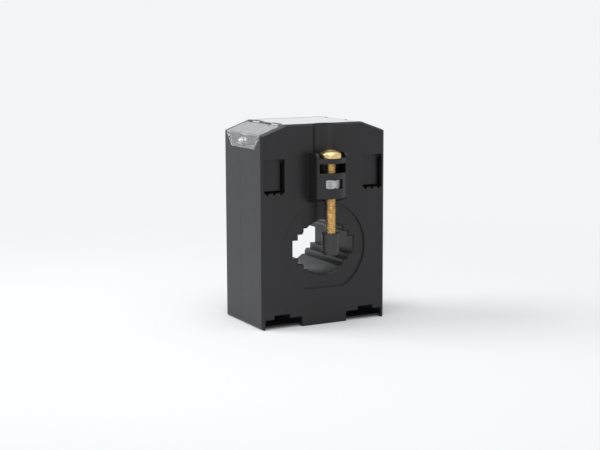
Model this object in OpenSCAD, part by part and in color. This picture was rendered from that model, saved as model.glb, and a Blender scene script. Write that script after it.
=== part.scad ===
// Moulded-case current transformer for a busbar or a cable.
// Two half shells hold a wound ring core around a stepped window. A clamp
// screw on the front presses a foot on the bar, and two clear hinged covers
// close the secondary terminals at the top corners.
//
// Frame: the middle of the base is the origin, +Z is up, and the clamp is on -Y.

/* [Housing] */
// Width of the housing
body_w = 62; // [60:0.5:70]
// Depth of the housing, front face to rear face
body_d = 37.5; // [36:0.5:48]
// Height of the housing
body_h = 90; // [89:0.5:96]
// Wall thickness of the half shells
wall = 2; // [1.6:0.1:2.4]
// Width of the sloped shoulder at each top corner
shoulder_w = 11.8; // [11:0.1:12.4]
// Height of the sloped shoulder
shoulder_h = 4.25; // [3.6:0.05:4.6]
// Radius of the corners of the front outline
corner_r = 1.2; // [0.6:0.1:2]
// Bevel round the front and rear faces
face_bevel = 0.8; // [0.3:0.1:1.2]
// Distance of the parting plane behind the middle
split_y = 2; // [0.5:0.1:3.5]
// Length of the locating lip at the parting plane
lip_len = 1.5; // [0.8:0.1:2.5]
// Thickness of the locating lip
lip_t = 0.8; // [0.6:0.05:1]
// Thickness of the inner ribs that cradle the core
rib_t = 1.6; // [1.2:0.1:2.4]
// Distance of those ribs from the middle
rib_x = 14; // [12:0.5:15]

/* [Window] */
// Height of the window's centre above the base
window_z = 34.6; // [34:0.1:37]
// Diameter of the round cable opening
cable_d = 24.6; // [22:0.1:25]
// Width of the widest bar opening
bar1_w = 30.5; // [28:0.1:31]
// Height of the widest bar opening
bar1_h = 8; // [6:0.1:8.6]
// Width of the middle bar opening
bar2_w = 25.2; // [24:0.1:26]
// Height of the middle bar opening
bar2_h = 13; // [11:0.1:14]
// Width of the narrow bar opening
bar3_w = 19.4; // [18:0.1:20]
// Height of the narrow bar opening
bar3_h = 18.3; // [16:0.1:19]
// Wall of the tunnel behind the window
tunnel_wall = 1.6; // [1.2:0.1:1.7]
// Bevel at the window's mouth
mouth_bevel = 0.5; // [0.3:0.1:0.7]
// Radius of the shallow recess round the window
disc_r = 20.7; // [19:0.1:22]
// Distance from the window's centre down to the recess's flat edge
disc_flat = 18.1; // [17:0.1:18.6]
// Depth of the shallow recess
disc_depth = 0.8; // [0.4:0.1:1]

/* [Core] */
// Inner diameter of the ring core
core_id = 41; // [40.8:0.1:42]
// Radial thickness of the ring core
core_t = 4.6; // [3:0.1:4.8]
// Axial length of the ring core
core_len = 20; // [14:0.5:20]
// Wall of the insulating caps on the core
cap_t = 0.6; // [0.4:0.1:0.7]
// Thickness of the secondary winding
winding_t = 1.2; // [0.8:0.1:1.3]
// Thickness of the outer tape
tape_t = 0.4; // [0.2:0.1:0.5]
// Diameter of the lead wires
lead_d = 1.8; // [1.2:0.1:2.4]

/* [Clamp] */
// Half width of the clamp tower
tower_hw = 7.8; // [7.2:0.1:9]
// How far the tower stands out of the front face
tower_out = 7.7; // [7.2:0.1:8.6]
// How far the nut block and the shelf bow out beyond the cheeks
tower_bow = 2.2; // [1.9:0.1:3]
// Rise of the tower's underside from the face to its front
tower_slope = 2.4; // [1:0.1:4]
// Height of the tower's foot on the front face
tower_z0 = 55.2; // [54.8:0.1:57]
// Height of the tower's top
tower_z1 = 77.4; // [76.6:0.1:78]
// Thickness of the tower's two cheeks
cheek_t = 1.3; // [1:0.1:1.8]
// Height of the shelf's lower side
shelf_z = 72.9; // [72:0.1:73.4]
// Thickness of the shelf
shelf_t = 2.3; // [1.8:0.1:2.8]
// Height of the nut block's top
block_z1 = 68.7; // [68:0.1:69.4]
// Height of the nut's lower side
nut_z = 61.9; // [61:0.1:62.6]
// Width of the nut across its flats
nut_af = 8; // [7:0.1:8.5]
// Thickness of the nut
nut_h = 4; // [3.2:0.1:4.7]
// Distance of the screw's axis in front of the front face
screw_out = 5.7; // [5.4:0.1:6]
// Diameter of the clamp screw's thread
screw_d = 5; // [4:0.1:5.2]
// Thread pitch of the clamp screw
screw_pitch = 0.8; // [0.5:0.05:1]
// Length of the clamp screw under its head
screw_len = 40; // [38.5:0.5:41]
// Diameter of the clamp screw's head
head_d = 9.6; // [8:0.1:10.2]
// Height of the clamp screw's head
head_h = 3.5; // [2.5:0.1:4]
// Diameter of the pressure foot
foot_d = 8; // [7:0.1:8.4]
// Height of the pressure foot
foot_h = 9.5; // [8:0.1:10.5]
// Depth of the screw's socket in the foot
socket_depth = 6.8; // [5:0.1:7.2]
// Width of the screwdriver channel at the top of the front face
channel_w = 11.5; // [9:0.1:12.5]
// Width of the relief groove between the window and the tower
groove_w = 6.6; // [5:0.1:7.2]
// Depth of the relief groove
groove_depth = 3; // [1.5:0.1:3.6]

/* [Terminals] */
// Distance of the terminal screws from the middle plane
term_x = 24.8; // [24.6:0.1:25]
// Distance between the two terminals of one side
term_pitch = 18; // [17.8:0.1:19]
// Height of the terminal floor
term_z = 77.8; // [77.4:0.1:78.2]
// Thickness of the moulded terminal floor
floor_t = 1.6; // [1.2:0.1:2]
// Thickness of the contact bar
bar_t = 1.6; // [1.2:0.1:1.8]
// Thickness of the wire clamp
clamp_t = 1.2; // [0.8:0.1:1.3]
// Side of the square wire clamp
clamp_w = 8; // [7.2:0.1:8]
// Diameter of the terminal screw's thread
tscrew_d = 4; // [3:0.1:4]
// Length of the terminal screw under its head
tscrew_len = 8; // [6:0.5:10]
// Diameter of the terminal screw's head
thead_d = 6.8; // [5.6:0.1:7]
// Height of the terminal screw's head
thead_h = 2.6; // [1.8:0.1:2.7]
// Thickness of the wall between the two terminals
divider_t = 1.4; // [0.8:0.1:1.6]

/* [Covers and plate] */
// Thickness of the clear covers
cover_t = 1; // [0.8:0.05:1.1]
// Depth of the flap on the housing's side
flap_t = 1.2; // [1:0.05:1.4]
// How far the flap hangs down below the shoulder
flap_h = 6.5; // [5.5:0.1:7]
// How much the flap narrows at each end on its way down
flap_taper = 5; // [3:0.1:6]
// Thickness of the front rim beside the covers
front_rim = 2; // [1.6:0.1:2.4]
// Thickness of the rear rim beside the covers
rear_rim = 2.25; // [1.8:0.05:2.6]
// Radius of the hinge pin
pin_r = 0.6; // [0.5:0.05:0.65]
// Wall of the hook round the hinge pin
hook_wall = 0.5; // [0.4:0.05:0.5]
// Length of each hook
hook_len = 7.8; // [6:0.1:8.4]
// Distance between the two hooks of a cover
hook_pitch = 18.4; // [17.5:0.1:19]
// Thickness of the rating plate
plate_t = 0.6; // [0.4:0.1:0.8]

/* [Brackets] */
// Distance of the bracket pockets' inner side from the middle plane
pocket_x = 19.6; // [18.8:0.1:20.2]
// Width of a bracket pocket
pocket_w = 10; // [9:0.1:10.2]
// Height of the pocket's lower edge above the base
pocket_z = 60.3; // [59:0.1:61.5]
// Height of a bracket pocket
pocket_h = 14.8; // [13:0.1:15]
// Depth of a bracket pocket
pocket_depth = 2.8; // [2:0.1:3.2]
// Width of the gaps round the pocket's tongue
tongue_gap = 0.8; // [0.5:0.1:1]
// Distance of the base slots' inner end from the middle plane
slot_x = 11.2; // [10:0.1:12.5]
// Width of a base slot
slot_w = 18.3; // [16:0.1:18.4]
// Height of the base slot's lower side
slot_z = 1.5; // [1.4:0.1:2]
// Height of a base slot
slot_h = 3; // [2.4:0.1:3.4]
// Width of the raised middle of a base slot
step_w = 7.8; // [6:0.1:9]
// Height of the raised middle
step_h = 1.7; // [1:0.1:2]
// Height of the relief under the base between its feet
base_relief = 0.7; // [0.4:0.1:0.9]
// How far the base slot's lower bar lies behind the faces
bar_setback = 1.2; // [0.6:0.1:2]

/* [Fits] */
// Running clearance between a shaft and its hole, on the radius
run_fit = 0.05; // [0.02:0.01:0.08]
// Clearance round parts that only lie in a recess
lay_fit = 0.15; // [0.1:0.01:0.25]

/* [Hidden] */
$fn = 48;

LEFT = -1;
RIGHT = 1;
FRONT = -1;
REAR = 1;
over = 1; // how far a cut runs past the surface that it opens

face_y = -body_d / 2;
back_y = body_d / 2;
shoulder_x = body_w / 2 - shoulder_w;
shoulder_z = body_h - shoulder_h;
slope = shoulder_h / shoulder_w;
slope_angle = atan(slope);
function shoulder_at(x) = body_h - (x - shoulder_x) * slope;

// Radii of the wound core, from the inside out and back, and its half lengths
core_r0 = core_id / 2;
core_r1 = core_r0 + core_t;
wound_t = cap_t + winding_t + tape_t;
ring_r1 = core_r1 + wound_t;
ring_half = core_len / 2 + wound_t;

// Clamp heights
axis_y = face_y - screw_out;
shelf_top = shelf_z + shelf_t;
screw_tip_z = shelf_top - screw_len;
foot_z = screw_tip_z + socket_depth - foot_h;
channel_r = norm([channel_w / 2, screw_out]);
shank_r = screw_d / 2;
nut_point = nut_af / 2 / cos(30);

// Terminal heights
cavity_top = term_z - floor_t;
bar_top = term_z + bar_t;
clamp_top = bar_top + clamp_t;
rim_y0 = face_y + front_rim;
rim_y1 = back_y - rear_rim;
tshank_r = tscrew_d / 2;

// Hinge of the clear covers
hook_r = pin_r + run_fit + hook_wall;
hinge_x = shoulder_x - 0.2;
hinge_z = body_h - 0.15 - hook_r;
inner_wall_x = shoulder_x + 1.1;
cover_x0 = inner_wall_x + 0.5;
hook_slot_r = hook_r + lay_fit;

// Base slots
slot_top = slot_z + slot_h;
step_top = slot_top + step_h;
cavity_z0 = step_top + floor_t;

// --- general helpers --------------------------------------------------------

// Extrudes a front view, drawn as x and z, from y0 to y1
module along_y(y0, y1) {
    translate([0, y1, 0]) rotate([90, 0, 0]) linear_extrude(y1 - y0) children();
}

// Extrudes a side view, drawn as y and z, from x0 to x1
module along_x(x0, x1) {
    translate([x0, 0, 0]) rotate([90, 0, 90]) linear_extrude(x1 - x0) children();
}

// A block between two corners
module block(from, to) {
    translate(from) cube(to - from);
}

// Children on one side of the middle plane, or mirrored to the other
module on_side(side) {
    mirror([side == LEFT ? 1 : 0, 0, 0]) children();
}

module both_sides() {
    for (side = [LEFT, RIGHT]) on_side(side) children();
}

// Points of a corner at b between a and c, rounded with radius r
function rounded_corner(a, b, c, r, steps = 6) =
    let(u = (a - b) / norm(a - b),
        v = (c - b) / norm(c - b),
        half = acos(u * v) / 2,
        middle = b + (u + v) / norm(u + v) * r / sin(half),
        p = b + u * r / tan(half) - middle,
        q = b + v * r / tan(half) - middle,
        start = atan2(p.y, p.x),
        turn = atan2(q.y, q.x) - start,
        sweep = turn > 180 ? turn - 360 : turn < -180 ? turn + 360 : turn)
    [for (i = [0:steps]) middle + r * [cos(start + sweep * i / steps), sin(start + sweep * i / steps)]];

function rounded(points, r) =
    let(n = len(points))
    [for (i = [0:n - 1]) each rounded_corner(points[(i + n - 1) % n], points[i], points[(i + 1) % n], r)];

// --- housing ----------------------------------------------------------------

// Corners of the front outline, anticlockwise from the lower left
corners = [[-body_w / 2, 0], [body_w / 2, 0], [body_w / 2, shoulder_z],
           [shoulder_x, body_h], [-shoulder_x, body_h], [-body_w / 2, shoulder_z]];

// Bevels the sharp edge between the points a and b of the face at y
module edge_bevel(a, b, y, bevel) {
    edge = b - a;
    side = bevel * sqrt(2);
    translate([a.x, y, a.y]) rotate([0, -atan2(edge.y, edge.x), 0]) rotate([45, 0, 0])
        translate([norm(edge) / 2, 0, 0]) cube([norm(edge) + 2 * bevel, side, side], center = true);
}

// Takes the sharp edge off one face, along each outline edge but the base
module face_bevels(y) {
    for (i = [1:len(corners) - 1]) edge_bevel(corners[i], corners[(i + 1) % len(corners)], y, face_bevel);
}

module window_outline(grow = 0) {
    translate([0, window_z]) {
        square([bar1_w + 2 * grow, bar1_h + 2 * grow], center = true);
        square([bar2_w + 2 * grow, bar2_h + 2 * grow], center = true);
        square([bar3_w + 2 * grow, bar3_h + 2 * grow], center = true);
        circle(d = cable_d + 2 * grow, $fn = 96);
    }
}

// Bevel round a rectangular opening whose face lies at z = 0
module rectangular_mouth(w, h) {
    function wedge(size) = [[-size / 2, -mouth_bevel], [size / 2, -mouth_bevel],
                            [size / 2 + mouth_bevel, 0], [size / 2 + mouth_bevel, over],
                            [-size / 2 - mouth_bevel, over], [-size / 2 - mouth_bevel, 0]];
    intersection() {
        rotate([90, 0, 0]) linear_extrude(body_h, center = true) polygon(wedge(w));
        rotate([90, 0, 90]) linear_extrude(body_h, center = true) polygon(wedge(h));
    }
}

// Bevel at the window's mouth in the face at y, which looks to the front or the rear
module window_mouth(y, face) {
    translate([0, y, window_z]) rotate([face == FRONT ? 90 : -90, 0, 0]) {
        translate([0, 0, -mouth_bevel])
            cylinder(h = mouth_bevel + 0.01, d1 = cable_d, d2 = cable_d + 2 * mouth_bevel, $fn = 96);
        rectangular_mouth(bar1_w, bar1_h);
        rectangular_mouth(bar2_w, bar2_h);
        rectangular_mouth(bar3_w, bar3_h);
    }
}

module disc_outline() {
    translate([0, window_z]) intersection() {
        circle(r = disc_r, $fn = 96);
        translate([-disc_r, -disc_flat]) square([2 * disc_r, disc_flat + disc_r]);
    }
}

// One pocket for a bracket: a recess with a springy tongue behind it, on the right side
module bracket_pocket() {
    x1 = pocket_x + pocket_w;
    deep = face_y + pocket_depth;
    block([pocket_x, face_y - over, pocket_z], [x1, deep, pocket_z + pocket_h]);
    for (x = [pocket_x, x1 - tongue_gap])
        block([x, deep - over, pocket_z], [x + tongue_gap, deep + 2 * floor_t, pocket_z + pocket_h - 2 * tongue_gap]);
    block([pocket_x, deep - over, pocket_z], [x1, deep + 2 * floor_t, pocket_z + tongue_gap]);
    for (i = [0:2])
        translate([pocket_x + pocket_w * (0.1 + 0.34 * i), face_y - over, pocket_z - tongue_gap])
            cube([pocket_w * 0.12, pocket_depth + over, tongue_gap + 0.01]);
}

// Slot along the base for a foot bracket, on the right side
module base_slot() {
    step_x = slot_x + (slot_w - step_w) / 2 + 0.8;
    block([slot_x, face_y - over, slot_z], [slot_x + slot_w, back_y + over, slot_top]);
    block([step_x, face_y - over, slot_z], [step_x + step_w, back_y + over, step_top]);
    block([slot_x, face_y - over, -over], [slot_x + slot_w, back_y + over, base_relief]);
    for (y = [face_y - over, back_y - bar_setback])
        block([slot_x, y, -over], [slot_x + slot_w, y + bar_setback + over, slot_z + 0.01]);
}

// Outline of the flap on the housing's side as y and z, drawn in by a margin
function flap_points(margin = 0) =
    let(y0 = rim_y0 + lay_fit + margin, y1 = rim_y1 - lay_fit - margin,
        z0 = shoulder_z - flap_h + margin)
    [[y0, shoulder_z], [y0, shoulder_z - 1.2], [y0 + flap_taper, z0], [y1 - flap_taper, z0],
     [y1, shoulder_z - 1.2], [y1, shoulder_z]];

// Terminal compartment with its wire entries and the seat of the cover, on the right side
module terminal_compartment() {
    under = cover_t / cos(slope_angle) + 0.1;
    outside = body_w / 2 + over;
    difference() {
        block([inner_wall_x, rim_y0, term_z], [body_w / 2 - wall, rim_y1, body_h + over]);
        block([inner_wall_x - over, -divider_t / 2, bar_top + 0.1],
              [body_w / 2 - wall - over, divider_t / 2, shoulder_at(body_w / 2 - wall) - under]);
    }
    // room for the sloped part of the cover
    along_y(rim_y0, rim_y1)
        polygon([[inner_wall_x, shoulder_at(inner_wall_x) - under], [outside, shoulder_at(outside) - under],
                 [outside, body_h + over], [inner_wall_x, body_h + over]]);
    // seat of the flap, and the wire entry behind it
    along_x(body_w / 2 - flap_t - 0.1, outside) polygon(flap_points(-lay_fit));
    along_x(body_w / 2 - wall - over, outside) polygon(flap_points(wall / 2));
    // slots for the hooks
    for (y = [-hook_pitch / 2, hook_pitch / 2])
        translate([hinge_x, y - hook_len / 2 - 0.4, hinge_z]) {
            translate([-hook_slot_r, 0, -hook_slot_r]) cube([2 * hook_slot_r + over, hook_len + 0.8, body_h]);
        }
    // holes for the screw ends and the lug of the contact bar
    for (y = [-term_pitch / 2, term_pitch / 2])
        translate([term_x, y, cavity_top - over]) cylinder(h = floor_t + 2 * over, r = tshank_r + 0.6);
    block([lug_x - lay_fit, -lug_w / 2 - lay_fit, cavity_top - over],
          [lug_x + bar_t + lay_fit, lug_w / 2 + lay_fit, term_z + over]);
}

module hinge_pins() {
    both_sides() for (y = [-hook_pitch / 2, hook_pitch / 2])
        translate([hinge_x, y - hook_len / 2 - 0.8, hinge_z])
            rotate([-90, 0, 0]) cylinder(h = hook_len + 1.6, r = pin_r, $fn = 24);
}

// Hollow for the core and the leads
module chamber() {
    difference() {
        union() {
            block([-body_w / 2 + wall, face_y + wall, cavity_z0], [body_w / 2 - wall, back_y - wall, cavity_top]);
            block([-slot_x + wall, face_y + wall, wall], [slot_x - wall, back_y - wall, cavity_z0 + over]);
            block([-rib_x, face_y + wall + groove_depth, cavity_top - over],
                  [rib_x, back_y - wall, body_h - plate_t - wall]);
        }
        along_y(face_y, back_y) window_outline(tunnel_wall);
        both_sides() cradle_rib();
        both_sides() block([pocket_x - floor_t, face_y, pocket_z - 2 * floor_t],
                           [body_w / 2, face_y + pocket_depth + floor_t, cavity_top]);
        block([-groove_w / 2 - floor_t, face_y, window_z],
              [groove_w / 2 + floor_t, face_y + groove_depth + floor_t, tower_z0 + floor_t]);
        translate([0, axis_y, tower_z1 - floor_t]) cylinder(h = body_h, r = channel_r + floor_t, $fn = 96);
    }
    along_ring(ring_half + lay_fit) difference() {
        circle(r = ring_r1 + lay_fit, $fn = 120);
        circle(r = core_r0 - wound_t - lay_fit, $fn = 120);
    }
}

// Extrudes a ring section about the window's axis, as far on both sides of the middle
module along_ring(half) {
    translate([0, half, window_z]) rotate([90, 0, 0]) linear_extrude(2 * half) children();
}

module cradle_rib() {
    difference() {
        block([rib_x - rib_t / 2, face_y, wall], [rib_x + rib_t / 2, back_y, body_h - wall]);
        along_ring(ring_half + lay_fit) circle(r = ring_r1 + lay_fit, $fn = 120);
    }
}

// The whole housing with its clamp tower, before it is parted
module housing() {
    difference() {
        union() {
            difference() {
                along_y(face_y, back_y) polygon(rounded(corners, corner_r));
                face_bevels(face_y);
                face_bevels(back_y);
            }
            clamp_tower();
        }
        chamber();
        along_y(face_y - over, back_y + over) window_outline();
        window_mouth(face_y + disc_depth, FRONT);
        window_mouth(back_y, REAR);
        along_y(face_y - over, face_y + disc_depth) disc_outline();
        block([-groove_w / 2, face_y - 0.01, window_z + bar3_h / 2],
              [groove_w / 2, face_y + groove_depth, tower_z0 + 0.6]);
        driver_channel();
        both_sides() {
            bracket_pocket();
            base_slot();
            terminal_compartment();
        }
        translate([0, 0, body_h - plate_t]) linear_extrude(plate_t + over) plate_outline(0);
    }
    hinge_pins();
}

// Half-round channel that lets a screwdriver reach the clamp screw
module driver_channel() {
    intersection() {
        translate([0, axis_y, tower_z1 - 0.9]) cylinder(h = body_h, r = channel_r, $fn = 96);
        block([-body_w, face_y - 0.01, 0], [body_w, back_y, 2 * body_h]);
    }
}

// Stands on the front face: two cheeks, with the nut block and the shelf bowed out between them
module clamp_tower() {
    inside = tower_hw - cheek_t;
    out_y = face_y - tower_out;
    block_z0 = tower_z0 + tower_slope;
    bow_r = (inside * inside + tower_bow * tower_bow) / (2 * tower_bow);
    slot_hw = nut_af / 2 + lay_fit;
    difference() {
        union() {
            difference() {
                along_x(-tower_hw, tower_hw)
                    polygon([[face_y + 0.5, tower_z0], [face_y, tower_z0], [out_y, block_z0],
                             [out_y, tower_z1 - 1.2], [out_y + 1.2, tower_z1], [face_y + 0.5, tower_z1]]);
                block([-inside, out_y - over, block_z1], [inside, face_y, tower_z1 + over]);
            }
            for (span = [[block_z0, block_z1], [shelf_z, shelf_top]])
                translate([0, 0, span[0]]) linear_extrude(span[1] - span[0]) intersection() {
                    translate([0, out_y - tower_bow + bow_r]) circle(r = bow_r, $fn = 96);
                    translate([-inside, face_y - 2 * tower_out]) square([2 * inside, 2 * tower_out + 0.5]);
                }
        }
        // pocket that holds the nut by two of its flats
        block([-slot_hw, out_y - tower_bow - over, nut_z], [slot_hw, axis_y + nut_point + lay_fit, nut_z + nut_h + 0.1]);
        translate([0, axis_y, tower_z0 - over]) cylinder(h = shelf_top - tower_z0 + 2 * over, r = shank_r + 0.2);
    }
}

// Ring of the locating lip as x and z, grown by a clearance
module lip_outline(grow = 0) {
    x1 = body_w / 2 - wall;
    z0 = cavity_z0;
    z1 = cavity_top;
    difference() {
        translate([-x1 - lip_t - grow, z0 - lip_t - grow]) square([2 * (x1 + lip_t + grow), z1 - z0 + 2 * (lip_t + grow)]);
        translate([-x1, z0]) square([2 * x1, z1 - z0]);
        translate([-slot_x + wall + grow, 0]) square([2 * (slot_x - wall - grow), body_h / 4]);
        translate([-body_w, z1 - over]) square([2 * body_w, body_h]);
    }
}

module front_shell() {
    color([0.14, 0.135, 0.14]) difference() {
        intersection() {
            housing();
            block([-body_w, axis_y - body_d, -over], [body_w, split_y, body_h + over]);
        }
        along_y(split_y - lip_len - 0.1, split_y + over) lip_outline(lay_fit / 2);
    }
}

module rear_shell() {
    color([0.16, 0.155, 0.16]) {
        intersection() {
            housing();
            block([-body_w, split_y, -over], [body_w, back_y + over, body_h + over]);
        }
        along_y(split_y - lip_len, split_y + 0.01) lip_outline();
    }
}

// --- wound core -------------------------------------------------------------

// Revolves a section, drawn as radius and axial place, about the window's axis
module about_window() {
    translate([0, 0, window_z]) rotate([-90, 0, 0]) rotate_extrude($fn = 120) children();
}

// Section of one wrapped layer: a frame whose inner side is t0 off the core and outer side t1
module layer_section(t0, t1) {
    difference() {
        translate([core_r0 - t1, -core_len / 2 - t1]) square([core_t + 2 * t1, core_len + 2 * t1]);
        if (t0 >= 0) translate([core_r0 - t0, -core_len / 2 - t0]) square([core_t + 2 * t0, core_len + 2 * t0]);
    }
}

module ring_core() {
    color([0.42, 0.43, 0.46]) about_window() layer_section(-1, 0);
}

module core_cap(end) {
    color([0.85, 0.83, 0.76]) about_window() intersection() {
        layer_section(0, cap_t);
        translate([0, end == FRONT ? -body_d : 0]) square([body_w, body_d]);
    }
}

module secondary_winding() {
    color([0.72, 0.4, 0.2]) about_window() layer_section(cap_t, cap_t + winding_t);
}

module winding_tape() {
    color([0.86, 0.78, 0.35]) about_window() layer_section(cap_t + winding_t, wound_t);
}

// --- terminals --------------------------------------------------------------

bar_x0 = inner_wall_x + 0.3;
bar_x1 = body_w / 2 - wall - 0.3;
lug_x = bar_x0;
lug_w = 5;
lug_z = cavity_top - 2.4;

// Straight lead from the winding up to the lug of the contact bar
module lead(side) {
    x = lug_x + bar_t / 2;
    color([0.75, 0.12, 0.1]) on_side(side) difference() {
        translate([x, 0, window_z]) cylinder(h = lug_z - window_z, d = lead_d, $fn = 24);
        along_ring(body_d) circle(r = ring_r1, $fn = 120);
    }
}

module contact_bar(side) {
    bar_len = term_pitch + clamp_w + 1;
    color([0.8, 0.8, 0.78]) on_side(side) difference() {
        union() {
            block([bar_x0, -bar_len / 2, term_z], [bar_x1, bar_len / 2, bar_top]);
            block([lug_x, -lug_w / 2, lug_z], [lug_x + bar_t, lug_w / 2, term_z + 0.01]);
        }
        for (y = [-term_pitch / 2, term_pitch / 2])
            translate([term_x, y, term_z - over]) cylinder(h = bar_t + 2 * over, r = tshank_r + run_fit);
    }
}

module at_terminal(side, end) {
    on_side(side) translate([term_x, end * term_pitch / 2, 0]) children();
}

module wire_clamp(side, end) {
    color([0.78, 0.78, 0.76]) at_terminal(side, end) difference() {
        translate([-clamp_w / 2, -clamp_w / 2, bar_top]) cube([clamp_w, clamp_w, clamp_t]);
        translate([0, 0, bar_top - over]) cylinder(h = clamp_t + 2 * over, r = tshank_r + run_fit);
        // two shallow grooves that grip the wires
        for (y = [-clamp_w * 0.36, clamp_w * 0.36])
            translate([-clamp_w, y, bar_top]) rotate([0, 90, 0]) cylinder(h = 2 * clamp_w, r = 0.35, $fn = 24);
    }
}

// Pan head with a flat rim, a domed top and a cross recess, its underside at z = 0
module pan_head(d, h, cross_w, cross_l) {
    dome_r = (d * d / 4 + h * h * 0.16) / (h * 0.8);
    difference() {
        intersection() {
            cylinder(h = h, r = d / 2, $fn = 72);
            translate([0, 0, h - dome_r]) sphere(r = dome_r, $fn = 96);
        }
        for (turn = [45, 135])
            rotate([0, 0, turn]) translate([-cross_l / 2, -cross_w / 2, h * 0.45]) cube([cross_l, cross_w, h]);
    }
}

module terminal_screw(side, end) {
    color([0.83, 0.83, 0.8]) at_terminal(side, end) translate([0, 0, clamp_top]) {
        pan_head(thead_d, thead_h, 0.9, thead_d * 0.56);
        translate([0, 0, -tscrew_len]) cylinder(h = tscrew_len + 0.01, r = tshank_r);
    }
}

// --- covers and plate -------------------------------------------------------

// Section of the sloped part, from near the flat top round the fold, on the right side
module cover_section() {
    fold = [body_w / 2, shoulder_z];
    low = shoulder_z - 1.2;
    down = [0, cover_t / cos(slope_angle)];
    start = [cover_x0, shoulder_at(cover_x0)];
    inner_fold = [body_w / 2 - flap_t, shoulder_at(body_w / 2 - flap_t) - down.y];
    polygon(concat([start], rounded_corner(start, fold, [body_w / 2, low], 1.1),
                   [[body_w / 2, low], [body_w / 2 - flap_t, low], inner_fold, start - down]));
}

module cover_hook() {
    difference() {
        union() {
            rotate([-90, 0, 0]) cylinder(h = hook_len, r = hook_r, $fn = 36);
            // arm that joins the hook to the sloped part
            translate([0, 0, -0.1]) cube([cover_x0 - hinge_x + 0.6, hook_len, 0.85]);
        }
        translate([0, -over, 0]) rotate([-90, 0, 0]) cylinder(h = hook_len + 2 * over, r = pin_r + run_fit, $fn = 24);
        // mouth through which the hook snaps over the pin
        translate([-0.7 * pin_r, -over, -2 * hook_r]) cube([1.4 * pin_r, hook_len + 2 * over, 2 * hook_r]);
    }
}

module clear_cover(side) {
    outer = flap_points();
    rim = 0.9;
    color([0.9, 0.93, 0.95, 0.5]) on_side(side) {
        along_y(rim_y0 + lay_fit, rim_y1 - lay_fit) cover_section();
        difference() {
            along_x(body_w / 2 - flap_t, body_w / 2) polygon([for (p = outer) [p.x, min(p.y, shoulder_z - 1.15)]]);
            // sunken field that leaves a bead all round and a rib in the middle
            for (end = [FRONT, REAR]) intersection() {
                along_x(body_w / 2 - 0.3, body_w / 2 + over) polygon([for (p = flap_points(rim)) [p.x, min(p.y, shoulder_z - 1.6)]]);
                translate([0, end == FRONT ? -body_d - divider_t : divider_t, 0]) cube([body_w, body_d, body_h]);
            }
        }
        for (y = [-hook_pitch / 2, hook_pitch / 2])
            translate([hinge_x, y - hook_len / 2, hinge_z]) cover_hook();
    }
}

module plate_outline(gap) {
    slot_edge = hinge_x - hook_slot_r;
    difference() {
        translate([-shoulder_x + 0.1 + gap, rim_y0 + gap])
            square([2 * (shoulder_x - 0.1 - gap), rim_y1 - rim_y0 - 2 * gap]);
        for (x = [-1, 1], y = [-hook_pitch / 2, hook_pitch / 2])
            translate([x > 0 ? slot_edge - gap - 0.2 : -shoulder_x - over, y - hook_len / 2 - 0.6 - gap])
                square([shoulder_x - slot_edge + over + gap + 0.2, hook_len + 1.2 + 2 * gap]);
        translate([0, axis_y]) circle(r = channel_r + 0.6 + gap, $fn = 96);
    }
}

module rating_plate() {
    color([0.8, 0.8, 0.81]) translate([0, 0, body_h - plate_t]) linear_extrude(plate_t) plate_outline(lay_fit);
}

// --- clamp ------------------------------------------------------------------

module clamp_nut() {
    color([0.6, 0.6, 0.6]) translate([0, axis_y, nut_z]) difference() {
        intersection() {
            rotate([0, 0, 30]) cylinder(h = nut_h, r = nut_point, $fn = 6);
            // turned chamfer on the corners of both ends
            union() {
                cylinder(h = nut_h / 2 + 0.01, r1 = nut_af / 2 * 0.97, r2 = nut_af / 2 * 0.97 + nut_h * 0.9, $fn = 60);
                translate([0, 0, nut_h / 2])
                    cylinder(h = nut_h / 2, r1 = nut_af / 2 * 0.97 + nut_h * 0.9, r2 = nut_af / 2 * 0.97, $fn = 60);
            }
        }
        translate([0, 0, -over]) cylinder(h = nut_h + 2 * over, r = shank_r + run_fit);
    }
}

module clamp_screw() {
    color([0.75, 0.6, 0.35]) translate([0, axis_y, shelf_top]) {
        pan_head(head_d, head_h, 1.2, head_d * 0.54);
        translate([0, 0, -screw_len]) cylinder(h = screw_len + 0.01, r = shank_r);
    }
}

// Round foot with a slightly tapered end, open at the top for the screw
module pressure_foot() {
    color([0.17, 0.16, 0.165]) translate([0, axis_y, foot_z]) difference() {
        union() {
            cylinder(h = 1.5, d1 = foot_d - 1.4, d2 = foot_d - 0.3);
            translate([0, 0, 1.5]) cylinder(h = foot_h - 1.5, d1 = foot_d - 0.3, d2 = foot_d);
        }
        translate([0, 0, foot_h - socket_depth]) cylinder(h = socket_depth + over, r = shank_r + run_fit);
    }
}

// --- nodes ------------------------------------------------------------------

front_shell();
rear_shell();
ring_core();
core_cap(FRONT);  // core_cap_front
core_cap(REAR);  // core_cap_rear
secondary_winding();
winding_tape();
lead(LEFT);  // lead_left
lead(RIGHT);  // lead_right
contact_bar(LEFT);  // contact_bar_left
contact_bar(RIGHT);  // contact_bar_right
wire_clamp(LEFT, FRONT);  // wire_clamp_left_front
wire_clamp(LEFT, REAR);  // wire_clamp_left_rear
wire_clamp(RIGHT, FRONT);  // wire_clamp_right_front
wire_clamp(RIGHT, REAR);  // wire_clamp_right_rear
terminal_screw(LEFT, FRONT);  // terminal_screw_left_front
terminal_screw(LEFT, REAR);  // terminal_screw_left_rear
terminal_screw(RIGHT, FRONT);  // terminal_screw_right_front
terminal_screw(RIGHT, REAR);  // terminal_screw_right_rear
clear_cover(LEFT);  // clear_cover_left
clear_cover(RIGHT);  // clear_cover_right
rating_plate();
clamp_nut();
clamp_screw();
pressure_foot();
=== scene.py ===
"""Looks of a moulded-case current transformer with a stepped window, a clamp screw and clear covers."""

import math

import bpy
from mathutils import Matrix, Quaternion, Vector


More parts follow.
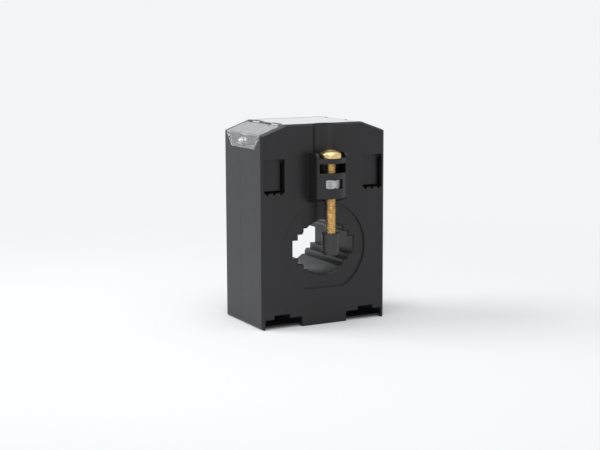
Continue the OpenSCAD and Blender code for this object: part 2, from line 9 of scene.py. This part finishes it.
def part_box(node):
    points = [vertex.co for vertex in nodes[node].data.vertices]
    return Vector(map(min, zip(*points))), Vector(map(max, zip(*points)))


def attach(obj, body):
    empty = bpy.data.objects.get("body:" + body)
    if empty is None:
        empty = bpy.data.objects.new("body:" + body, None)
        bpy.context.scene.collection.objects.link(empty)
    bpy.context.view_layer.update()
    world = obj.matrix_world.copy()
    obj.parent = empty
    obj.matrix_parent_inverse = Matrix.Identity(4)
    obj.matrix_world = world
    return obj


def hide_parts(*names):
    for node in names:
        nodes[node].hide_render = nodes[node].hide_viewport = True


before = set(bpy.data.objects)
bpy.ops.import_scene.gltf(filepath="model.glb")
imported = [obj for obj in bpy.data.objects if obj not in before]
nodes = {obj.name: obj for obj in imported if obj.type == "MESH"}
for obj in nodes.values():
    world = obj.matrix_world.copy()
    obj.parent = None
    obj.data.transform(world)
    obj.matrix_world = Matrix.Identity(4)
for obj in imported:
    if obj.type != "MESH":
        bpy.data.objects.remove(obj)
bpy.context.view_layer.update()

MM = 0.001
BACKGROUND = (0.896, 0.913, 0.930)

core_low, core_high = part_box("ring_core")
window_z = (core_low.z + core_high.z) / 2
split_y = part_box("front_shell")[1].y


# --- material helpers -----------------------------------------------------------


class Value:
    """A socket's value in one node tree. Arithmetic on it adds Math nodes."""

    def __init__(self, maker, socket):
        self.maker = maker
        self.socket = socket

    def maths(self, operation, *terms):
        return self.maker.node("ShaderNodeMath", {"operation": operation}, dict(enumerate(terms)))

    def __add__(self, other):
        return self.maths("ADD", self, other)

    __radd__ = __add__

    def __sub__(self, other):
        return self.maths("SUBTRACT", self, other)

    def __rsub__(self, other):
        return self.maths("SUBTRACT", other, self)

    def __mul__(self, other):
        return self.maths("MULTIPLY", self, other)

    __rmul__ = __mul__

    def __abs__(self):
        return self.maths("ABSOLUTE", self)

    def __pow__(self, power):
        return self.maths("POWER", self, power)

    def wave(self):
        """A sine between 0 and 1."""
        return self.maths("SINE", self) * 0.5 + 0.5

    def band(self, low, high):
        """Rises smoothly from 0 at low to 1 at high."""
        settings = {"interpolation_type": "SMOOTHSTEP"}
        sockets = {"Value": self, "From Min": low, "From Max": high}
        return self.maker.node("ShaderNodeMapRange", settings, sockets)

    def either(self, other):
        """The greater of two values."""
        return self.maths("MAXIMUM", self, other)


class NodeTree:
    """Adds nodes to the tree of a material or a world and ends it in an output."""

    def __init__(self, owner, output_kind):
        owner.use_nodes = True
        self.tree = owner.node_tree
        self.tree.nodes.clear()
        self.output = self.tree.nodes.new(output_kind)

    def node(self, kind, settings=None, sockets=None, out=0):
        """Adds a node, sets it up, feeds its sockets with values or links, and returns an output."""
        made = self.tree.nodes.new(kind)
        for key, setting in (settings or {}).items():
            setattr(made, key, setting)
        for key, value in (sockets or {}).items():
            if isinstance(value, Value):
                self.tree.links.new(value.socket, made.inputs[key])
            elif isinstance(value, tuple) and made.inputs[key].type == "RGBA":
                made.inputs[key].default_value = (*value, 1)
            else:
                made.inputs[key].default_value = value
        return Value(self, made.outputs[out])

    def rays(self):
        """Whether a camera ray, a glossy ray or a ray through something clear looks here."""
        names = ("Is Camera Ray", "Is Glossy Ray", "Is Transmission Ray")
        return [self.node("ShaderNodeLightPath", out=name) for name in names]

    def end_in(self, shader):
        self.tree.links.new(shader.socket, self.output.inputs["Surface"])


class Finish(NodeTree):
    """One material, with the patterns that vary it."""

    def __init__(self, name):
        self.material = bpy.data.materials.new(name)
        super().__init__(self.material, "ShaderNodeOutputMaterial")

    def place(self):
        return self.node("ShaderNodeTexCoord", out="Object")

    def xyz(self):
        place = self.place()
        return [self.node("ShaderNodeSeparateXYZ", sockets={0: place}, out=i) for i in range(3)]

    def turn_about_window(self, x, z):
        """The angle round the window's axis, in radians."""
        return self.node("ShaderNodeMath", {"operation": "ARCTAN2"}, {0: x, 1: z - window_z})

    def noise(self, size, detail=2.0, vector=None):
        """Noise whose grains are about that size in millimetres."""
        sockets = {"Vector": vector or self.place(), "Scale": 1 / (size * MM), "Detail": detail}
        return self.node("ShaderNodeTexNoise", sockets=sockets)

    def stretched(self, x, y, z):
        """Object coordinates scaled along each axis, for a drawn-out pattern."""
        return self.node("ShaderNodeMapping", sockets={"Vector": self.place(), "Scale": (x, y, z)})

    def mix(self, factor, first, second):
        """A colour between two colours."""
        return self.node("ShaderNodeMix", {"data_type": "RGBA"}, {0: factor, 6: first, 7: second}, out=2)

    def bump(self, height, depth, normal=None):
        """A relief whose full height is depth millimetres."""
        sockets = {"Height": height, "Distance": depth * MM, "Strength": 1.0}
        if normal:
            sockets["Normal"] = normal
        return self.node("ShaderNodeBump", sockets=sockets)

    def soft_edges(self, radius):
        """Lets the light roll over the edges as over a moulded radius, in millimetres."""
        return self.node("ShaderNodeBevel", {"samples": 6}, {"Radius": radius * MM})

    def surface(self, **sockets):
        """Ends the finish in a Principled shader."""
        named = {key.replace("_", " "): value for key, value in sockets.items()}
        self.end_in(self.node("ShaderNodeBsdfPrincipled", sockets=named))


# --- finishes -------------------------------------------------------------------


def moulded_plastic(name, colour, gloss):
    """Black moulded plastic: a fine eroded grain, faint flow marks and a dark parting line."""
    line_core, line_edge = 0.04 * MM, 0.16 * MM
    grain_depth, mottle_depth, line_depth = 0.012, 0.012, 0.05
    f = Finish(name)
    x, y, z = f.xyz()
    flow = f.noise(9, 3, f.stretched(1, 1, 0.35))
    grains = f.noise(0.16, 2)
    mottle = f.noise(1.6, 3)
    parting = 1 - abs(y - split_y).band(line_core, line_edge)
    shade = f.mix(flow, tuple(0.86 * c for c in colour), tuple(1.18 * c for c in colour))
    shade = f.mix(parting * 0.8, shade, (0.003, 0.003, 0.003))
    relief = f.bump(grains, grain_depth, f.soft_edges(0.28))
    relief = f.bump(mottle, mottle_depth, relief)
    relief = f.bump(1 - parting, line_depth, relief)
    f.surface(
        Base_Color=shade,
        Roughness=mottle * 0.1 + flow * 0.06 + (gloss - 0.08),
        Normal=relief,
        IOR=1.42,
        Specular_IOR_Level=0.5,
    )
    return f.material


def clear_plastic():
    """Polycarbonate of the covers: clear, with a faint ripple from the mould and slightly frosted runs."""
    f = Finish("clear_cover_plastic")
    ripple = f.noise(4, 2)
    haze = f.noise(1.2, 3)
    f.surface(
        Base_Color=f.mix(haze, (0.93, 0.94, 0.96), (0.97, 0.975, 0.98)),
        Roughness=haze * 0.05 + 0.03,
        Normal=f.bump(ripple, 0.03, f.soft_edges(0.15)),
        Transmission_Weight=0.92,
        IOR=1.5,
    )
    return f.material


def plate_sheet():
    """Light grey plastic sheet of the rating plate, with a fine print-like grain and no print."""
    f = Finish("rating_plate_sheet")
    fleck = f.noise(0.12, 2)
    cloud = f.noise(7, 2)
    f.surface(
        Base_Color=f.mix(cloud, (0.60, 0.60, 0.615), (0.66, 0.655, 0.67)),
        Roughness=fleck * 0.12 + 0.34,
        Normal=f.bump(fleck, 0.006),
    )
    return f.material


def zinc_plate(name, pale, deep, rough):
    """Plated steel with a patchy passivation colour and a fine grain."""
    f = Finish(name)
    patch = f.noise(1.4, 4)
    spark = f.noise(0.09, 2)
    f.surface(
        Base_Color=f.mix(patch.band(0.35, 0.68), pale, deep),
        Roughness=patch * 0.14 + spark * 0.08 + (rough - 0.1),
        Normal=f.bump(spark, 0.006, f.soft_edges(0.12)),
        Metallic=1.0,
    )
    return f.material


def punched_brass():
    """Tinned brass of the contact bars and wire clamps: satin, with rolling lines along the strip."""
    f = Finish("tinned_brass_strip")
    rolled = f.noise(0.22, 2, f.stretched(1, 0.08, 1))
    patch = f.noise(2.2, 3)
    f.surface(
        Base_Color=f.mix(patch.band(0.4, 0.7), (0.70, 0.69, 0.66), (0.60, 0.58, 0.53)),
        Roughness=rolled * 0.16 + 0.24,
        Normal=f.bump(rolled, 0.008, f.soft_edges(0.12)),
        Metallic=1.0,
    )
    return f.material


def laminated_steel():
    """Core wound from thin steel strip: the strip's edges show as fine rings on the ends."""
    strip_t = 0.28
    f = Finish("wound_core_steel")
    x, y, z = f.xyz()
    radius = (x * x + (z - window_z) * (z - window_z)) ** 0.5
    strip = (radius * (2 * math.pi / (strip_t * MM))).wave()
    rust = f.noise(1.8, 3)
    f.surface(
        Base_Color=f.mix(strip * 0.6 + rust * 0.3, (0.16, 0.165, 0.18), (0.34, 0.345, 0.37)),
        Roughness=rust * 0.2 + 0.32,
        Normal=f.bump(strip, 0.03),
        Metallic=1.0,
    )
    return f.material


def wound_wire():
    """Enamelled copper turns that lie side by side round the ring, with painted shade between turns and a
    painted highlight on each crest.
    """
    turns = 230.0
    f = Finish("enamelled_copper_turns")
    x, y, z = f.xyz()
    turn_relief_and_shade = (f.turn_about_window(x, z) * turns).wave()
    layer = f.noise(2.6, 3)
    f.surface(
        # Painted shade in the grooves between turns and a painted highlight on each crest; the same wave
        # also drives the real relief of the turns.
        Base_Color=f.mix(turn_relief_and_shade * 0.7 + layer * 0.3, (0.22, 0.06, 0.02), (0.72, 0.30, 0.13)),
        Roughness=layer * 0.16 + 0.2,
        Normal=f.bump(turn_relief_and_shade, 0.09),
        Metallic=0.75,
        Coat_Weight=0.4,
    )
    return f.material


def wrapped_tape():
    """Amber tape wrapped round the winding, each turn overlapping the last."""
    laps_per_radian, lean = 5.5, 60.0
    f = Finish("wrapped_tape")
    x, y, z = f.xyz()
    wrap = f.turn_about_window(x, z) * laps_per_radian + y * lean
    lap = wrap.maths("FRACT", wrap)
    crinkle = f.noise(1.1, 3)
    f.surface(
        Base_Color=f.mix(lap * 0.6 + crinkle * 0.4, (0.55, 0.38, 0.08), (0.78, 0.60, 0.20)),
        Roughness=crinkle * 0.2 + 0.2,
        Normal=f.bump(lap * 0.7 + crinkle * 0.3, 0.07),
    )
    return f.material


def plain_polymer(name, low, high, rough, grain=0.3, depth=0.02):
    """A simple moulded or extruded plastic with a soft mottle."""
    f = Finish(name)
    mottle = f.noise(grain, 3)
    cloud = f.noise(grain * 14, 2)
    f.surface(
        Base_Color=f.mix(mottle * 0.4 + cloud * 0.6, low, high),
        Roughness=mottle * 0.14 + (rough - 0.07),
        Normal=f.bump(mottle, depth, f.soft_edges(0.15)),
    )
    return f.material


def paint(material, *names):
    for name in names:
        slots = nodes[name].data.materials
        slots.clear()
        slots.append(material)


# --- modelling helpers ----------------------------------------------------------


def begin():
    """Leaves object mode with nothing selected, ready for a new primitive."""
    if bpy.context.object and bpy.context.object.mode != "OBJECT":
        bpy.ops.object.mode_set(mode="OBJECT")
    bpy.ops.object.select_all(action="DESELECT")


def drawn(name, points):
    """A line of edges through the points, each drawn on from the last."""
    begin()
    bpy.ops.mesh.primitive_plane_add(size=MM, location=points[0])
    obj = bpy.context.object
    obj.name = obj.data.name = name
    bpy.ops.object.transform_apply(location=True, rotation=False, scale=False)
    bpy.ops.object.mode_set(mode="EDIT")
    bpy.ops.mesh.select_all(action="SELECT")
    bpy.ops.mesh.merge(type="CENTER")
    for a, b in zip(points, points[1:]):
        step = tuple(Vector(b) - Vector(a))
        bpy.ops.mesh.extrude_region_move(TRANSFORM_OT_translate={"value": step})
    return obj


def turned(name, axis, profile, steps=48):
    """A solid of revolution about a vertical axis, from radii and heights in millimetres."""
    points = [(axis[0] + r * MM, axis[1], axis[2] + h * MM) for r, h in profile]
    obj = drawn(name, points)
    bpy.ops.mesh.select_all(action="SELECT")
    bpy.ops.mesh.spin(steps=steps, angle=2 * math.pi, center=axis, axis=(0, 0, 1))
    bpy.ops.mesh.select_all(action="SELECT")
    bpy.ops.mesh.remove_doubles(threshold=0.000002)
    bpy.ops.mesh.normals_make_consistent(inside=False)
    bpy.ops.object.mode_set(mode="OBJECT")
    return obj


def keep_only(obj):
    """Makes one object active and the only one selected."""
    begin()
    obj.select_set(True)
    bpy.context.view_layer.objects.active = obj


def applied(obj, kind, **settings):
    """Adds a modifier with its settings and applies it."""
    keep_only(obj)
    modifier = obj.modifiers.new(kind.title(), kind)
    for key, value in settings.items():
        setattr(modifier, key, value)
    bpy.ops.object.modifier_apply(modifier=modifier.name)


def threaded_rod(name, axis, radius, pitch, low, high, steps=24):
    """A rod with a real helical thread between two heights above the axis point, all in millimetres."""
    root = radius - 0.61 * pitch
    turns = int((high - low) / pitch) + 3
    start = low - pitch
    # Radii, and heights as parts of a pitch: root, rising flank, crest, falling flank, root.
    profile = [(root, 0), (root, 0.12), (radius, 0.46), (radius, 0.60), (root, 0.94), (root, 1.0)]
    points = [(axis[0] + r * MM, axis[1], axis[2] + (start + h * pitch) * MM) for r, h in profile]
    obj = drawn(name, points)
    bpy.ops.object.mode_set(mode="OBJECT")
    pivot = bpy.data.objects.new(name + "_axis", None)
    bpy.context.scene.collection.objects.link(pivot)
    pivot.location = axis
    bpy.context.view_layer.update()
    applied(
        obj, "SCREW", object=pivot, screw_offset=pitch * MM, iterations=turns, steps=steps,
        render_steps=steps, use_merge_vertices=True, merge_threshold=0.000005,
    )
    bpy.data.objects.remove(pivot)
    keep_only(obj)
    bpy.ops.object.mode_set(mode="EDIT")
    bpy.ops.mesh.select_all(action="SELECT")
    bpy.ops.mesh.remove_doubles(threshold=0.000005)
    for height, side in ((low, -1), (high, 1)):
        bpy.ops.mesh.select_all(action="SELECT")
        cut = (axis[0], axis[1], axis[2] + height * MM)
        bpy.ops.mesh.bisect(plane_co=cut, plane_no=(0, 0, side), use_fill=True, clear_outer=True)
    bpy.ops.mesh.select_all(action="SELECT")
    bpy.ops.mesh.normals_make_consistent(inside=False)
    bpy.ops.object.mode_set(mode="OBJECT")
    return obj


def cross_cutter(name, axis, length, width, low, high):
    """Two crossed blades that narrow downwards, to sink a cross recess."""
    blades = []
    for turn in (45, 135):
        begin()
        bpy.ops.mesh.primitive_cube_add(size=1, location=(axis[0], axis[1], axis[2] + (low + high) / 2 * MM))
        blade = bpy.context.object
        blade.name = name + "_" + str(turn)
        blade.scale = (length * MM, width * MM, (high - low) * MM)
        blade.rotation_euler.z = math.radians(turn)
        bpy.ops.object.transform_apply(location=True, rotation=True, scale=True)
        bpy.ops.object.mode_set(mode="EDIT")
        bpy.ops.mesh.select_all(action="DESELECT")
        bpy.ops.object.mode_set(mode="OBJECT")
        for face in blade.data.polygons:
            face.select = face.normal.z < -0.5
        bpy.ops.object.mode_set(mode="EDIT")
        bpy.ops.transform.resize(value=(0.6, 0.6, 1), center_override=(axis[0], axis[1], axis[2] + low * MM))
        bpy.ops.object.mode_set(mode="OBJECT")
        blades.append(blade)
    return blades


def pan_screw(name, node, body, head_d, head_h, shank_d, pitch, length, material):
    """A pan head screw with a cross recess and a rolled thread, in place of its plain node."""
    low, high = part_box(node)
    seat = ((low.x + high.x) / 2, (low.y + high.y) / 2, high.z - head_h * MM)
    r = head_d / 2
    angles = [i * math.pi / 20 for i in range(1, 10)]
    dome = [(r * math.cos(t), head_h * (0.42 + 0.58 * math.sin(t))) for t in angles]
    profile = [(0, 0), (r - 0.35, 0), (r - 0.08, 0.1), (r, 0.35), (r, head_h * 0.36), *dome, (0, head_h)]
    head = turned(name, seat, profile, 64)
    for blade in cross_cutter(name + "_blade", seat, head_d * 0.54, head_d * 0.13, head_h * 0.4, head_h + 1):
        applied(head, "BOOLEAN", operation="DIFFERENCE", solver="EXACT", object=blade)
        bpy.data.objects.remove(blade)
    rod = threaded_rod(name + "_rod", seat, shank_d / 2, pitch, -length, 0.15)
    begin()
    rod.select_set(True)
    head.select_set(True)
    bpy.context.view_layer.objects.active = head
    bpy.ops.object.join()
    bpy.ops.object.shade_smooth_by_angle(angle=math.radians(32))
    head.data.materials.clear()
    head.data.materials.append(material)
    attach(head, body)
    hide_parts(node)
    return head


# --- stage ----------------------------------------------------------------------


def pale_floor():
    """A wide floor that takes the object's shadow and fades into the background."""
    f = Finish("pale_floor")
    x, y, z = f.xyz()
    distance = (x * x + y * y) ** 0.5
    direct, glossy, through = f.rays()
    seen = direct + glossy + through
    fade = distance.band(0.09, 0.34) * 0.86 + 0.14
    paper = f.mix(f.noise(3, 2), (0.86, 0.87, 0.88), (0.88, 0.89, 0.90))
    white = f.node("ShaderNodeBsdfDiffuse", sockets={"Color": paper})
    glow = f.node("ShaderNodeEmission", sockets={"Color": BACKGROUND, "Strength": 1.0})
    f.end_in(f.node("ShaderNodeMixShader", sockets={0: seen * fade, 1: white, 2: glow}))
    begin()
    bpy.ops.mesh.primitive_circle_add(vertices=64, radius=30, fill_type="NGON", location=(0, 0, -0.00005))
    floor = bpy.context.object
    floor.name = "floor"
    bpy.ops.object.transform_apply(location=True)
    floor.data.materials.append(f.material)


def studio_world(level):
    """Even light from all round, with a pale backdrop where camera, gloss or glass looks past the object."""
    world = bpy.data.worlds.new("studio")
    bpy.context.scene.world = world
    w = NodeTree(world, "ShaderNodeOutputWorld")
    direct, glossy, through = w.rays()
    sky = w.node("ShaderNodeBackground", sockets={"Color": BACKGROUND, "Strength": level})
    backdrop = w.node("ShaderNodeBackground", sockets={"Color": BACKGROUND})
    seen = direct.either(glossy.either(through))
    w.end_in(w.node("ShaderNodeMixShader", sockets={0: seen, 1: sky, 2: backdrop}))


def soft_lamp(name, place, power, width, height, target=(0, 0, 0.045)):
    """A rectangular lamp that looks at the object."""
    begin()
    bpy.ops.object.light_add(type="AREA", location=place)
    lamp = bpy.context.object
    lamp.name = name
    lamp.data.shape = "RECTANGLE"
    lamp.data.size, lamp.data.size_y = width, height
    lamp.data.energy = power
    aim = Vector(target) - Vector(place)
    lamp.rotation_euler = aim.to_track_quat("-Z", "Y").to_euler()


def camera(azimuth, elevation, roll, place, lens):
    """Azimuth 0 looks along +Y, and a positive roll turns the camera anticlockwise, in degrees."""
    a, e = math.radians(azimuth), math.radians(elevation)
    back = Vector((math.sin(a) * math.cos(e), -math.cos(a) * math.cos(e), math.sin(e)))
    begin()
    bpy.ops.object.camera_add(location=place)
    eye = bpy.context.object
    aim = (-back).to_track_quat("-Z", "Y") @ Quaternion((0, 0, 1), math.radians(roll))
    eye.rotation_euler = aim.to_euler()
    eye.data.lens = lens
    eye.data.sensor_width = 36
    eye.data.clip_start, eye.data.clip_end = 0.01, 100
    bpy.context.scene.camera = eye


# --- building -------------------------------------------------------------------

ends = [side + "_" + end for side in ("left", "right") for end in ("front", "rear")]
clamps = ["wire_clamp_" + end for end in ends]

paint(moulded_plastic("front_shell_plastic", (0.0125, 0.012, 0.0132), gloss=0.36), "front_shell")
paint(moulded_plastic("rear_shell_plastic", (0.0145, 0.014, 0.0148), gloss=0.4), "rear_shell")
paint(clear_plastic(), "clear_cover_left", "clear_cover_right")
paint(plate_sheet(), "rating_plate")
paint(punched_brass(), "contact_bar_left", "contact_bar_right", *clamps)
paint(laminated_steel(), "ring_core")
paint(wound_wire(), "secondary_winding")
paint(wrapped_tape(), "winding_tape")

nylon = plain_polymer("cap_insulation", (0.62, 0.58, 0.47), (0.74, 0.70, 0.60), 0.45)
red_vinyl = plain_polymer("lead_insulation", (0.45, 0.03, 0.02), (0.58, 0.05, 0.03), 0.35, 0.2, 0.01)
foot_black = plain_polymer("foot_plastic", (0.020, 0.019, 0.020), (0.030, 0.029, 0.030), 0.42)
paint(nylon, "core_cap_front", "core_cap_rear")
paint(red_vinyl, "lead_left", "lead_right")
paint(foot_black, "pressure_foot")
paint(zinc_plate("nut_steel", (0.42, 0.42, 0.42), (0.26, 0.26, 0.27), 0.34), "clamp_nut")

yellow_zinc = zinc_plate("yellow_zinc", (0.80, 0.62, 0.30), (0.62, 0.42, 0.20), 0.30)
bright_zinc = zinc_plate("bright_zinc", (0.74, 0.74, 0.72), (0.60, 0.61, 0.62), 0.28)

pan_screw(
    "clamp_screw_m5", "clamp_screw", "clamp_screw", head_d=9.6, head_h=3.5, shank_d=5.0, pitch=0.8,
    length=40.0, material=yellow_zinc,
)
for end in ends:
    terminal = "terminal_screw_" + end
    pan_screw(
        "terminal_screw_m4_" + end, terminal, terminal, head_d=6.8, head_h=2.6, shank_d=4.0, pitch=0.7,
        length=8.0, material=bright_zinc,
    )

pale_floor()
studio_world(level=0.42)
soft_lamp("rear_left_softbox", place=(-0.9, 0.55, 0.75), power=9, width=0.8, height=0.8)
soft_lamp("top_softbox", place=(-0.1, -0.2, 1.1), power=6, width=0.7, height=0.7)
soft_lamp("front_fill", place=(-0.5, -1.1, 0.45), power=2.0, width=0.6, height=0.6)
camera(azimuth=-27.708, elevation=8.769, roll=-0.205, place=(-0.2817, -0.5319, 0.1351), lens=80.02)

scene = bpy.context.scene
scene.view_settings.view_transform = "Standard"
begin()
